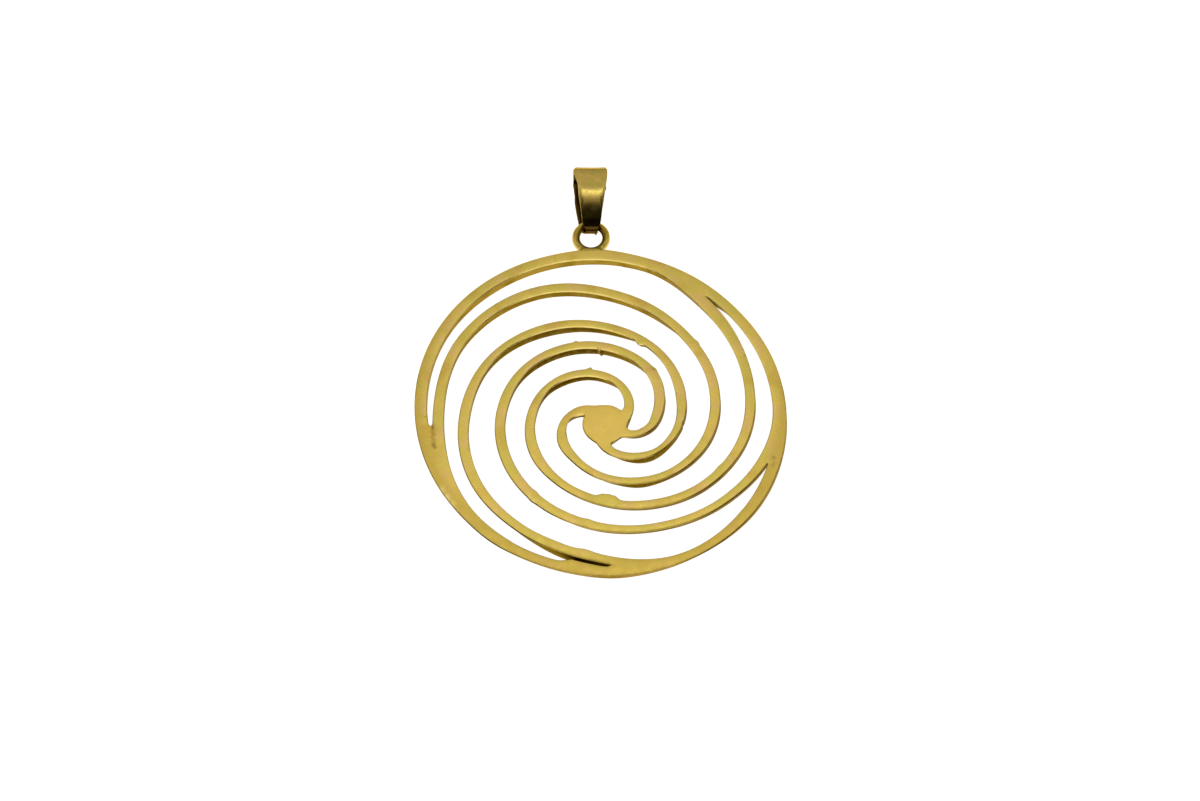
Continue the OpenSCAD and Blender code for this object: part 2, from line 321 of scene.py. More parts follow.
def rim_r(turn):
    """Distance from the hub's middle to the plain oval, along a turn about the hub"""
    a, b = RIM_LONG / 2, RIM_SHORT / 2
    t = radians(turn)
    px = -(RIM_X * cos(RIM_TURN) + RIM_Y * sin(RIM_TURN)) / a
    py = (RIM_X * sin(RIM_TURN) - RIM_Y * cos(RIM_TURN)) / b
    qx, qy = cos(t - RIM_TURN) / a, sin(t - RIM_TURN) / b
    q, p = qx * qx + qy * qy, px * qx + py * qy
    return (sqrt(p * p - q * (px * px + py * py - 1)) - p) / q


def rim_at(p):
    """Distance from the hub's middle to the plain oval, in the direction of a point"""
    return rim_r(degrees(atan2(p.y, p.x)))


def rim_wide(turn):
    place = (turn % 360) / ROW_STEP
    i = int(place)
    a, b, c, d = (RIM_WIDE[(i + k) % len(RIM_WIDE)] for k in (-1, 0, 1, 2))
    return cubic(a, b, c, d, place - i)


def opening(name, turn):
    """The radii of a gap's two edges at one turn"""
    inner, outer, behind, start, tip, start_round, tip_round, slit_long, slit_wide = GAPS[name]
    near_end = min((turn - start) / start_round, (tip - turn) / tip_round, 1)
    open_part = sqrt(max(0, 1 - (1 - near_end) ** 2))
    low = soft_max(HUB_R, arm_edge(inner, turn, 1))
    high = soft_min(rim_r(turn) - rim_wide(turn), arm_edge(outer, turn + behind, -1))
    for gap, side, at, height, half in MARKS:
        if gap == name:
            reach = height * bell(turn - at, half)
            low, high = (low + reach, high) if side == LOW else (low, high - reach)
    if slit_long:
        high = soft_min(high, low + slit_wide + max(0, tip - turn - slit_long) * SLIT_OPENS, SLIT_SOFT)
    half_gap = max(0, high - low) / 2 * open_part
    middle = (low + high) / 2
    return middle - half_gap, middle + half_gap


def polar(turn, r):
    return Vector((r * cos(radians(turn)), r * sin(radians(turn))))


def spread_turns(name):
    """Turns along a gap, an even distance apart, and closer at its two round ends and at its marks"""
    start, tip, start_round, tip_round = GAPS[name][3:7]
    marks = [(at, half) for gap, side, at, height, half in MARKS if gap == name]
    turns = [start]
    while turns[-1] < tip:
        t = turns[-1]
        step = degrees(SPACING / max(opening(name, t)[HIGH], 1))
        ease = min((t - start) / start_round, (tip - t) / tip_round, 1)
        step *= max(END_STEP, ease)
        for at, half in marks:
            if abs(t - at) < MARK_REACH * half:
                step = min(step, half / MARK_STEPS)
        turns.append(t + step)
    return turns[:-1] + [tip]


def gap_loop(name):
    """A gap's outline and, for each point, its side of the gap and its turn"""
    turns = spread_turns(name)
    low = [polar(t, opening(name, t)[LOW]) for t in turns]
    high = [polar(t, opening(name, t)[HIGH]) for t in turns[1:-1]]
    return low + high[::-1], [(LOW, t) for t in turns] + [(HIGH, t) for t in turns[-2:0:-1]]


def outline_loop():
    """The plate's outline and, for each point, its side and its turn"""
    count = int(pi * RIM_LONG / SPACING)
    loop = []
    for k in range(count):
        turn = 360 * k / count
        swell = sum(height * bell(near_turn(turn, at), half) for at, height, half in RIM_MARKS)
        loop.append(polar(turn, rim_r(turn) + swell))
    return loop, [(LOW, 360 * k / count) for k in range(count)]


def into_metal(loop, is_gap):
    """Unit vectors from a loop's points into the metal, eased so that marks turn them only a little"""
    n = len(loop)
    area = sum(a.x * b.y - b.x * a.y for a, b in zip(loop, loop[1:] + loop[:1]))
    way = 1 if (area > 0) != is_gap else -1
    steps = [loop[(i + 1) % n] - loop[i - 1] for i in range(n)]
    sharp = [Vector((-step.y, step.x)).normalized() * way for step in steps]
    return [sum((sharp[(i + k) % n] for k in range(-EASE, EASE + 1)), Vector((0, 0))).normalized()
            for i in range(n)]


class Border:
    """The edges of the plate in plan: how far a point lies from them, and which way the nearest looks"""

    def __init__(self, loops, normals):
        self.loops, self.normals = loops, normals
        self.places = [(k, i) for k, loop in enumerate(loops) for i in range(len(loop))]
        self.tree = kdtree.KDTree(len(self.places))
        for n, (k, i) in enumerate(self.places):
            self.tree.insert((*loops[k][i], 0), n)
        self.tree.balance()

    def near(self, p):
        k, i = self.places[self.tree.find((*p, 0))[1]]
        loop = self.loops[k]
        before, here, after = loop[i - 1], loop[i], loop[(i + 1) % len(loop)]
        away = min(segment_away(p, before, here), segment_away(p, here, after))
        return away, self.normals[k][i].y

    def away(self, p):
        return self.near(p)[0]


def segment_away(p, a, b):
    ab = b - a
    t = max(0, min(1, (p - a).dot(ab) / max(ab.length_squared, TINY)))
    return (p - a - ab * t).length


def filled(loops, extra):
    """Triangles of metal between the loops, the first of them round all others, through the extra points"""
    points, fences = [], []
    for loop in loops:
        first = len(points)
        points += loop
        fences += [(first + i, first + (i + 1) % len(loop)) for i in range(len(loop))]
    solid = len(points)
    verts, edges, triangles, from_points, from_fences, _ = delaunay_2d_cdt(
        points + extra, fences, [], 0, TOUCHING, True)
    walls = {frozenset(e) for e, origin in zip(edges, from_fences) if origin}
    beside = {}
    for n, tri in enumerate(triangles):
        for k in range(3):
            beside.setdefault(frozenset((tri[k - 1], tri[k])), []).append(n)
    place = {origin[0]: i for i, origin in enumerate(from_points) if origin}
    first_edge = (place[0], place[1])
    a, b = (verts[i] for i in first_edge)

    def on_left(tri):
        return sum((b - a).cross(verts[i] - a) for i in tri) > 0

    todo = [n for n in beside[frozenset(first_edge)] if on_left(triangles[n])]
    metal = set(todo)
    while todo:
        tri = triangles[todo.pop()]
        for k in range(3):
            side = frozenset((tri[k - 1], tri[k]))
            if side not in walls:
                fresh = [n for n in beside[side] if n not in metal]
                metal.update(fresh)
                todo += fresh
    on_edge = [not origin or min(origin) < solid for origin in from_points]
    return verts, [triangles[n] for n in sorted(metal)], on_edge


def rounded(away, radius):
    """How far a rounded edge lies under the face at a distance from the edge"""
    if away >= radius:
        return 0
    return radius - sqrt(max(0, radius**2 - (radius - away) ** 2))


def top_depth(away, facing):
    """How far the plate's top lies under its full height: a soft crown, and a small slope along the edge"""
    crown = TOP_CROWN * max(0, 1 - away / CROWN_REACH) ** 2
    edge = FAR_EDGE + (TOP_EDGE - FAR_EDGE) * soft_step(facing, *EDGE_FACING)
    return crown + TOP_SLOPE * max(0, edge - away)


def top_z(away, facing):
    return PLATE_T - top_depth(away, facing)


def foot_z(away, facing):
    return rounded(away, FOOT_ROUND)


def ring_points(border, loops, normals, rings):
    """Points inside the metal beside each loop, without those that lie nearer to another edge"""
    out = []
    for d in rings:
        for loop, ways in zip(loops, normals):
            for p, n in zip(loop, ways):
                q = p + n * d
                if border.away(q) > d * OWN_EDGE:
                    out.append(q)
    return out


def fill_points(border, clear):
    """Points of an even net over the metal, away from its edges"""
    out = []
    half = RIM_LONG / 2 + 1
    rows = int(2 * half / (NET_STEP * NET_ROWS))
    for j in range(rows):
        y = RIM_Y - half + j * NET_STEP * NET_ROWS
        for i in range(int(2 * half / NET_STEP)):
            p = Vector((RIM_X - half + (i + 0.5 * (j % 2)) * NET_STEP, y))
            if border.away(p) > clear:
                out.append(p)
    return out


def new_object(name, verts, faces, paint, sharp=None):
    """A piece from points in millimetres, whose paint gives each point its depth, painted highlight and
    stain with painted shade
    """
    mesh = bpy.data.meshes.new(name)
    mesh.from_pydata([tuple(c * MM for c in v) for v in verts], [], faces)
    mesh.validate()
    bm = bmesh.new()
    bm.from_mesh(mesh)
    bmesh.ops.remove_doubles(bm, verts=bm.verts, dist=WELD * MM)
    bmesh.ops.delete(bm, geom=[v for v in bm.verts if not v.link_faces], context="VERTS")
    bmesh.ops.recalc_face_normals(bm, faces=bm.faces)
    bm.to_mesh(mesh)
    bm.free()
    mesh.polygons.foreach_set("use_smooth", [True] * len(mesh.polygons))
    if sharp:
        mesh.set_sharp_from_angle(angle=sharp)
    shades = [paint(v.co / MM, v.normal) for v in mesh.vertices]
    for column, layer in enumerate(("depth", "painted_highlight", "stain_and_shade")):
        values = mesh.attributes.new(layer, "FLOAT", "POINT").data
        values.foreach_set("value", [shade[column] for shade in shades])
    obj = bpy.data.objects.new(name, mesh)
    bpy.context.scene.collection.objects.link(obj)
    return obj


def draft(name, side, turn, way):
    """How far the foot of a wall lies inside its top"""
    if side == LOW:
        plain = LOW_DRAFT + LOW_FRONT_DRAFT * abs(way.y)
    else:
        plain = HIGH_DRAFT * soft_step(abs(way.y), *HIGH_FLANK)
    return plain - sum(reach * bell(turn - at, half) for mark, face, at, reach, half in FOOT_MARKS
                       if mark == name and face == side)


def foot_steps(named, normals):
    """For each point of the edges, the step in plan from the wall's top to its foot"""
    steps = []
    span = range(-DRAFT_EASE, DRAFT_EASE + 1)
    for name, (loop, places), ways in zip(["rim", *GAPS], named, normals):
        insets = [draft(name, side, turn, way) for (side, turn), way in zip(places, ways)]
        n = len(loop)
        eased = [sum(insets[(i + k) % n] for k in span) / len(span) for i in range(n)]
        steps.append([way * inset + Vector(FOOT_SHIFT) for way, inset in zip(ways, eased)])
    return steps


def wall_grime_and_shade(p, normal, depth, inner):
    """Grime and painted shade of the plate's walls"""
    on_rim = rim_at(p) - p.xy.length < RIM_WALL
    grime_and_shade = 0
    if not on_rim:
        # Painted shade, with some grime, darkest in the narrow gaps near the hub
        grime_and_shade = 1 - (max(0, p.xy.length - GRIME_SHADE_FULL) / GRIME_SHADE_FADE) ** 2
        grime_and_shade *= OUTWARD_GRIME_SHADE + (1 - OUTWARD_GRIME_SHADE) * inner
        grime_and_shade *= 1 - LEFT_LIT * soft_step(normal.x, *LEFTWARD)
    grime_and_shade += marks_at(p, GRIME_AND_SHADE)
    stain_and_shade = min(1, grime_and_shade) * (1 - FOOT_LIT * soft_step(depth, *FOOT_DEPTH))
    # Painted shade at the foot of the rim's wall
    if on_rim:
        stain_and_shade += RIM_FOOT_SHADE * soft_step(depth, *RIM_FOOT_DEPTH)
    return stain_and_shade


def plate_paint(p, normal):
    """Depth under the top as a share of the thickness, painted highlight, and stain with painted shade"""
    depth = (PLATE_T - p.z) / PLATE_T
    from_hub = p.xy.normalized()
    inner = soft_step(-normal.xy.dot(from_hub), *INWARD)
    slope = soft_step(normal.z, *SLOPE_LOW) * soft_step(normal.z, *SLOPE_HIGH)
    slope *= soft_step(normal.y, *SLOPE_NEAR)
    # Painted highlight on slopes that look to the hub, and painted glints
    painted_highlight = max(slope * inner, marks_at(p, GLINTS))
    # Painted shade on slopes that look away from the hub
    stain_and_shade = SLOPE_SHADE * slope * (1 - inner)
    if depth > WALL_FROM:
        stain_and_shade += wall_grime_and_shade(p, normal, depth, inner)
    else:
        outward = normal.xy.normalized().dot(from_hub)
        # Faint painted shade along the outer edges, over the real stains and pits
        line = soft_step(normal.y, *LINE_NEAR) * soft_step(outward, *LINE_OUTWARD)
        stain_and_shade += marks_at(p, SPOTS) + LINE_SHADE * line
    return depth, painted_highlight, min(1, stain_and_shade)


def plate():
    named = [outline_loop()] + [gap_loop(name) for name in GAPS]
    tops = [loop for loop, places in named]
    normals = [into_metal(loop, k > 0) for k, loop in enumerate(tops)]
    steps = foot_steps(named, normals)
    bottoms = [[p + step for p, step in zip(loop, ways)] for loop, ways in zip(tops, steps)]
    verts, faces = [], []

    def face_sheet(loops, rings, clear, height, flip):
        border = Border(loops, normals)
        extra = ring_points(border, loops, normals, rings)
        points, triangles, edge = filled(loops, extra + fill_points(border, clear))
        first = len(verts)
        for p, on_edge in zip(points, edge):
            away, facing = border.near(p)
            verts.append((p.x, p.y, height(0 if on_edge else away, facing)))
        for f in triangles:
            faces.append([first + i for i in (reversed(f) if flip else f)])

    face_sheet(tops, TOP_RINGS, CROWN_REACH, top_z, False)
    face_sheet(bottoms, FOOT_RINGS, FOOT_ROUND + FOOT_CLEAR, foot_z, True)

    for loop, ways, feet in zip(tops, normals, steps):
        n = len(loop)
        rings = []
        for level in reversed(WALL_LEVELS):
            rings.append(len(verts))
            for p, way, step in zip(loop, ways, feet):
                q = p + step * (1 - level)
                verts.append((q.x, q.y, FOOT_ROUND + (top_z(0, way.y) - FOOT_ROUND) * level))
        for a, b in zip(rings, rings[1:]):
            faces.extend([a + i, a + (i + 1) % n, b + (i + 1) % n, b + i] for i in range(n))

    return new_object("disc", verts, faces, plate_paint, SHARP)


def smooth_union(a, b, soft):
    h = max(soft - abs(a - b), 0) / soft
    return min(a, b) - h * h * soft / 4


def plate_away(p):
    """Distance to the plate's outer edge, taken as a disc with rounded edges"""
    out = p.xy.length - rim_at(p) + FOOT_ROUND
    up = abs(p.z - PLATE_T / 2) - PLATE_T / 2 + FOOT_ROUND
    return sqrt(max(out, 0) ** 2 + max(up, 0) ** 2) + min(max(out, up), 0) - FOOT_ROUND


def ring_y():
    """How far the ring's middle lies from the hub's"""
    return rim_r(90) + RING_GAP


def ring():
    """The ring, with its wire swelling into the solder where it meets the rim"""
    middle = Vector((RING_X, ring_y(), RING_Z))
    tilt = Matrix.Rotation(RING_TILT, 3, "X")

    def joined(flat):
        p = middle + tilt @ flat
        wire = sqrt((flat.xy.length - RING_R) ** 2 + flat.z**2) - WIRE_R
        beyond = max(0, p.xy.length - rim_at(p))
        cap = p.z - PLATE_T + SOLDER_UNDER - SOLDER_RISE * beyond
        return max(smooth_union(wire, plate_away(p), SOLDER_SOFT), cap, SOLDER_FOOT - p.z)

    verts, faces = [], []
    for i in range(RING_STEPS):
        u = 2 * pi * i / RING_STEPS
        out = Vector((cos(u), sin(u), 0))
        for j in range(WIRE_STEPS):
            v = 2 * pi * j / WIRE_STEPS
            way = out * cos(v) + Vector((0, 0, sin(v)))
            reach = 0
            while reach < SOLDER_REACH and joined(out * RING_R + way * (WIRE_R + reach)) < 0:
                reach += SOLDER_STEP
            flat = out * RING_R + way * (WIRE_R + max(0, reach - SOLDER_STEP / 2))
            verts.append(middle + tilt @ flat)
            a, b = i * WIRE_STEPS, (i + 1) % RING_STEPS * WIRE_STEPS
            k = (j + 1) % WIRE_STEPS
            faces.append([a + j, b + j, b + k, a + k])

    def paint(p, normal):
        # The ring's inner side is painted darker, with the walls' colour and the darkest colour
        inward = -normal.xy.dot((p - middle).xy.normalized())
        depth = RING_DEPTH + RING_DEEPER * soft_step(inward, *RING_DEEPER_IN)
        return depth, 0, RING_INNER_DARK * soft_step(inward, *RING_DARK_IN)

    return new_object("ring", verts, faces, paint)


def strap_row(y, column):
    """A column of the strap's table at a distance along the bail, on a smooth curve through its rows"""
    last = len(STRAP) - 1
    i = held(sum(row[ALONG] <= y for row in STRAP) - 1, last - 1)

    def slope(k):
        a, b = STRAP[held(k - 1, last)], STRAP[held(k + 1, last)]
        return (b[column] - a[column]) / (b[ALONG] - a[ALONG])

    a, b = STRAP[i], STRAP[i + 1]
    step = b[ALONG] - a[ALONG]
    t = (y - a[ALONG]) / step
    first, second = slope(i) * step, slope(i + 1) * step
    gain = b[column] - a[column]
    return a[column] + t * (first + t * (3 * gain - 2 * first - second + t * (first + second - 2 * gain)))


def bent(y, at, half):
    """How far a slope of 1 has fallen at a place below a soft bend"""
    inside = max(0, min(at + half - y, 2 * half))
    return inside**2 / (4 * half) + max(0, at - half - y)


def leaf_drop(y, slope):
    """How far the front leaf lies under its flat part"""
    crease = CREASE_SLOPE * bent(y, CREASE, CREASE_BEND)
    return crease + (slope - CREASE_SLOPE) * bent(y, LEAF_BEND, LEAF_BEND_HALF)


def leaf_slope():
    """The slope with which the front leaf's lower part meets the bend at the foot"""
    low, high = CREASE_SLOPE, LEAF_STEEPEST
    for _ in range(HALVINGS):
        slope = (low + high) / 2
        clear = (2 * HEAD_R - STRAP_T / 2 - leaf_drop(0, slope) - FOOT_R) / sqrt(1 + slope**2)
        low, high = (slope, high) if clear > FOOT_R - STRAP_T / 2 else (low, slope)
    return slope


def strap_path():
    """Middle of the strap seen from the side, from the lower leaf round the head and back round the foot"""
    half_t = STRAP_T / 2
    foot, head = Vector((0, FOOT_R)), Vector((BAIL_L - FOOT_R - HEAD_R, HEAD_R))

    def bend(middle, r, first, last):
        n = ceil(abs(last - first) * r / STRAP_STEP)
        turns = [first + (last - first) * k / n for k in range(n)]
        return [middle + r * Vector((cos(turn), sin(turn))) for turn in turns]

    slope = leaf_slope()
    rise = atan(slope)
    meet = foot + (FOOT_R - half_t) * Vector((-sin(rise), cos(rise)))
    n = ceil(head.x / STRAP_STEP)
    lower = [Vector((head.x * k / n, half_t)) for k in range(n)]
    upper = []
    for k in range(n):
        y = head.x + (meet.x - head.x) * k / n
        upper.append(Vector((y, 2 * HEAD_R - half_t - leaf_drop(y, slope))))
    head_bend = bend(head, HEAD_R - half_t, -pi / 2, pi / 2)
    foot_bend = bend(foot, FOOT_R - half_t, pi / 2 + rise, 3 * pi / 2)
    return lower + head_bend + upper + foot_bend


def strap_section(wide):
    """Closed outline of the strap's cross-section, as pairs: across from the middle, and outwards"""
    flat, up = wide / 2 - STRAP_ROUND, STRAP_T / 2 - STRAP_ROUND
    across = [flat * (1 - k / STRAP_COLUMNS) for k in range(2 * STRAP_COLUMNS + 1)]
    corners = [(way * up, radians(a)) for way, a in SIDE_TURNS]
    right = [(flat + STRAP_ROUND * cos(a), away + STRAP_ROUND * sin(a)) for away, a in corners]
    left = [(-x, away) for x, away in reversed(right)]
    return [(x, STRAP_T / 2) for x in across] + left + [(-x, -STRAP_T / 2) for x in across] + right


def bail():
    """The bail: a strap folded round the ring's wire"""
    path = strap_path()
    slope = leaf_slope()
    origin = Vector((RING_X, ring_y() + RING_R - FOOT_DROP, 0))
    verts, faces = [], []
    n = len(path)
    for i, p in enumerate(path):
        tangent = (path[(i + 1) % n] - path[i - 1]).normalized()
        out = Vector((tangent.y, -tangent.x))
        wide, aside, lean = (strap_row(p.x, column) for column in (STRAP_WIDE, ASIDE, LEAN))
        under = soft_step(p.y, *UNDER_HEIGHT) * soft_step(p.x, *UNDER_ALONG)
        wide += under * (strap_row(HEAD_ALONG, STRAP_WIDE) - wide)
        aside += under * HEAD_ASIDE
        section = strap_section(wide)
        m = len(section)
        for x, away in section:
            share = 2 * x / wide
            dish = DISH * (1 - share**2) * bell(p.x - DISH_AT, DISH_HALF)
            drop, burr = 0, 0
            if p.y > HEAD_R:
                lift = CREASE_LIFT * share**CREASE_POWER * soft_step(p.x, *LIFT_ALONG)
                drop = leaf_drop(p.x - lift, slope) - leaf_drop(p.x, slope)
            if p.y < FOOT_R and away > 0:
                burr = BURR_H * bell(x - BURR_X, BURR_WIDE) * bell(p.x - BURR_Y, BURR_LONG)
            q = p + out * (away - dish - drop + burr)
            verts.append(origin + Vector((x + aside + (q.y - FOOT_R) * lean, q.x, q.y)))
        a, b = i * m, (i + 1) % n * m
        faces.extend([a + j, b + j, b + (j + 1) % m, a + (j + 1) % m] for j in range(m))

    def paint(p, normal):
        y = p.y - origin.y
        spine_long = BAIL_L - FOOT_R - HEAD_R
        spine = max(0, min(spine_long, y))
        fold = Vector((y - spine, p.z - FOOT_R - (HEAD_R - FOOT_R) * spine / spine_long))
        # Faces inside the fold are painted in shade
        if fold.dot(normal.yz) < 0:
            return BAIL_INSIDE
        front = soft_step(p.z, *FRONT_HEIGHT)
        side = soft_step(abs(normal.x), *SIDEWARD)
        middle = strap_row(y, ASIDE) + (p.z - FOOT_R) * strap_row(y, LEAN)
        across = abs(p.x - origin.x - middle) / strap_row(y, STRAP_WIDE) * 2
        border = soft_step(across, *BORDER_ACROSS) * soft_step(y, *BORDER_ALONG)
        low = LOW_DARK * soft_step(y, *LOW_ALONG)
        # Painted shade on the side faces, lower front and borders
        dark = max(front * max(low, BORDER_DARK * border), SIDE_DARK * side)
        right = RIGHT_SHADE * side * soft_step(y, *RIGHT_ALONG) if normal.x > 0 else 0
        low_shade = LOW_SHADE * soft_step(y, *LOW_SHADE_ALONG)
        # More painted shade on the right side face, lower front and fold
        stain_and_shade = max(front * max(right, low_shade), FOLD_SHADE * soft_step(y, *FOLD_ALONG))
        # Painted highlight along the crease, which rises at the strap's sides
        over = y - CREASE - CREASE_LIFT * min(1, across) ** CREASE_POWER
        highlight = bell(over, HIGHLIGHT_ABOVE if over > 0 else HIGHLIGHT_BELOW)
        return dark, front * highlight * (1 - side), stain_and_shade

    return new_object("folded_bail", verts, faces, paint)


def set_ends(node, *numbers):
    """The two values between which a map range node rises, and what it gives below and above them"""
    for name, number in zip(("From Min", "From Max", "To Min", "To Max"), numbers):
        node.inputs[name].default_value = number


class Finish:
    """A material under construction, with short names for the nodes that it needs"""

    def __init__(self, name):
        self.mat = bpy.data.materials.new(name)
        self.mat.use_nodes = True
        self.nodes, self.links = self.mat.node_tree.nodes, self.mat.node_tree.links
        self.shader = self.nodes["Principled BSDF"]
        self.place = self.nodes.new("ShaderNodeTexCoord").outputs["Object"]

    def noise(self, size_mm, detail, rough, shift):
        node = self.nodes.new("ShaderNodeTexNoise")
        node.inputs["Scale"].default_value = 1 / (size_mm * MM)
        node.inputs["Detail"].default_value = detail
        node.inputs["Roughness"].default_value = rough
        place = self.place
        if shift:
            moved = self.nodes.new("ShaderNodeVectorMath")
            moved.inputs[1].default_value = (shift * MM, -shift * MM, shift * MM / 2)
            self.links.new(place, moved.inputs[0])
            place = moved.outputs["Vector"]
        self.links.new(place, node.inputs["Vector"])
        return node.outputs["Fac"]

    def uneven(self, size_mm, detail, rough, shift, *ends):
        """Noise between two of its own values, spread over the two that it is to give"""
        return self.ramp(self.noise(size_mm, detail, rough, shift), *ends)

    def ramp(self, value, low, high, to_low=0.0, to_high=1.0):
        node = self.nodes.new("ShaderNodeMapRange")
        node.interpolation_type = "SMOOTHSTEP"
        set_ends(node, low, high, to_low, to_high)
        self.links.new(value, node.inputs["Value"])
        return node.outputs["Result"]

    def mix(self, share, a, b):
        node = self.nodes.new("ShaderNodeMix")
        node.data_type = "RGBA"
        for value, socket in ((share, node.inputs["Factor"]), (a, node.inputs["A"]), (b, node.inputs["B"])):
            self.feed(value, socket)
        return node.outputs["Result"]

    def math(self, way, a, b):
        node = self.nodes.new("ShaderNodeMath")
        node.operation = way
        self.feed(a, node.inputs[0])
        self.feed(b, node.inputs[1])
        return node.outputs["Value"]

    def feed(self, value, socket):
        if isinstance(value, bpy.types.NodeSocket):
            self.links.new(value, socket)
        elif isinstance(value, tuple):
            socket.default_value = (*value, 1)
        else:
            socket.default_value = value

    def radius(self, x_mm, y_mm):
        """Distance from an upright line"""
        flat = self.nodes.new("ShaderNodeVectorMath")
        flat.operation = "MULTIPLY_ADD"
        flat.inputs[1].default_value = (1, 1, 0)
        flat.inputs[2].default_value = (-x_mm * MM, -y_mm * MM, 0)
        self.links.new(self.place, flat.inputs[0])
        long = self.nodes.new("ShaderNodeVectorMath")
        long.operation = "LENGTH"
        self.links.new(flat.outputs["Vector"], long.inputs[0])
        return long.outputs["Value"]

    def attribute(self, name):
        node = self.nodes.new("ShaderNodeAttribute")
        node.attribute_name = name
        return node.outputs["Fac"]

    def bump(self, height, depth_mm, normal=None):
        node = self.nodes.new("ShaderNodeBump")
        node.inputs["Distance"].default_value = depth_mm * MM
        node.inputs["Strength"].default_value = 1
        self.links.new(height, node.inputs["Height"])
        if normal:
            self.links.new(normal, node.inputs["Normal"])
        return node.outputs["Normal"]


# Colours of the brass, in linear light
GOLDEN = (0.88, 0.63, 0.132)
OLIVE = (0.80, 0.62, 0.118)
ROSY = (0.90, 0.585, 0.195)
DULL = (0.73, 0.475, 0.078)
# Colour of the painted highlights
HIGHLIGHT_BRASS = (1.0, 0.78, 0.25)
# Tarnish of the real stains, which also serves for painted shade
TARNISH_AND_SHADE = (0.06, 0.027, 0.002)
# Browns of the walls, which stand partly for tarnish and partly for painted shade
WALL_SHADE_BROWN = (0.30, 0.19, 0.018)
WALL_SHADE_GOLD = (0.41, 0.27, 0.04)
BAIL_BASE = (0.71, 0.48, 0.105)
BAIL_OLIVE = (0.64, 0.485, 0.095)
# Colours of the bail's painted shade
BAIL_SHADE_BROWN = (0.20, 0.12, 0.01)
BAIL_SHADE_DARK = (0.30, 0.16, 0.03)
# Colour of the bail's painted highlight
BAIL_HIGHLIGHT_BRASS = (0.96, 0.74, 0.185)
RIM_TONE = (0.67, 0.46, 0.078)
HUB_TONE = (0.94, 0.655, 0.136)
# Colour of the metal's reflection near the edge of sight
EDGE_TINT = (0.75, 0.60, 0.40, 1)
# The rim's darker and the hub's lighter tone: the radii between which they fade, and their shares. The
# rim's is round a place above the rim's middle, so that its top keeps the arms' tone
RIM_TONE_UP, RIM_TONE_R, RIM_TONE_SHARE = 2.0, (23.4, 25.0), 0.7
HUB_TONE_R, HUB_TONE_SHARE = (2.8, 5.0), 0.75
# Depths between which the top's colour and its painted highlight give way to the walls', and how much
# rougher walls are
WALL_FADE, WALL_ROUGH_FADE, WALL_ROUGH = (0.092, 0.115), (0.1, 0.25), 0.15
# Uneven layers: size, detail, roughness and shift of the noise, its values between which the layer rises,
# and what the layer gives below and above them
WALL_PATCHES = (2.8, 2, 0.5, 12, 0.4, 0.62, 0, 1)
HIGHLIGHT_PATCHES = (1.2, 2, 0.5, 44, 0.3, 0.55, 0.4, 1)
STAIN_SHADE_PATCHES = (0.6, 2, 0.6, 23, 0.3, 0.6, 0.75, 1)
DISC_ROUGHNESS = (1.3, 3, 0.6, 5, 0.3, 0.7, 0.26, 0.33)
BAIL_SHADE_PATCHES = (0.8, 2, 0.5, 12, 0.4, 0.7, 0, 1)
BAIL_HIGHLIGHT_PATCHES = (0.6, 2, 0.5, 44, 0.35, 0.6, 0.3, 1)
BAIL_ROUGHNESS = (0.9, 3, 0.6, 5, 0.3, 0.7, 0.18, 0.26)
# Cloudy colours over the base, one after the other
DISC_CLOUDS = [
    (OLIVE, (3.0, 1, 0.5, 0, 0.4, 0.6, 0, 1)),
    (ROSY, (2.3, 1, 0.5, 31, 0.5, 0.66, 0, 0.6)),
    (DULL, (4.5, 2, 0.5, 57, 0.52, 0.7, 0, 0.6)),
]
BAIL_CLOUDS = [
    (BAIL_OLIVE, (1.5, 2, 0.5, 0, 0.42, 0.62, 0, 1)),
    (ROSY, (1.0, 2, 0.5, 31, 0.5, 0.7, 0, 0.5)),
]
# Relief: depth in millimetres, and size, detail, roughness and shift of the noise
DISC_RELIEF = [(0.012, (3.0, 1, 0.4, 9)), (0.0003, (0.35, 3, 0.6, 77))]
BAIL_RELIEF = [(0.015, (2.0, 1, 0.4, 9)), (0.0015, (0.3, 3, 0.6, 77))]


def clouded(f, base, clouds):
    for colour, cloud in clouds:
        base = f.mix(f.uneven(*cloud), base, colour)
    return base


def bare_metal(f, base, rough, relief):
    """Joins colour, roughness and relief to the shader of a bare metal"""
    f.shader.inputs["Metallic"].default_value = 1
    f.shader.inputs["Specular Tint"].default_value = EDGE_TINT
    f.links.new(base, f.shader.inputs["Base Color"])
    f.links.new(rough, f.shader.inputs["Roughness"])
    normal = None
    for depth_mm, waves in relief:
        normal = f.bump(f.noise(*waves), depth_mm, normal)
    f.links.new(normal, f.shader.inputs["Normal"])
    return f.mat


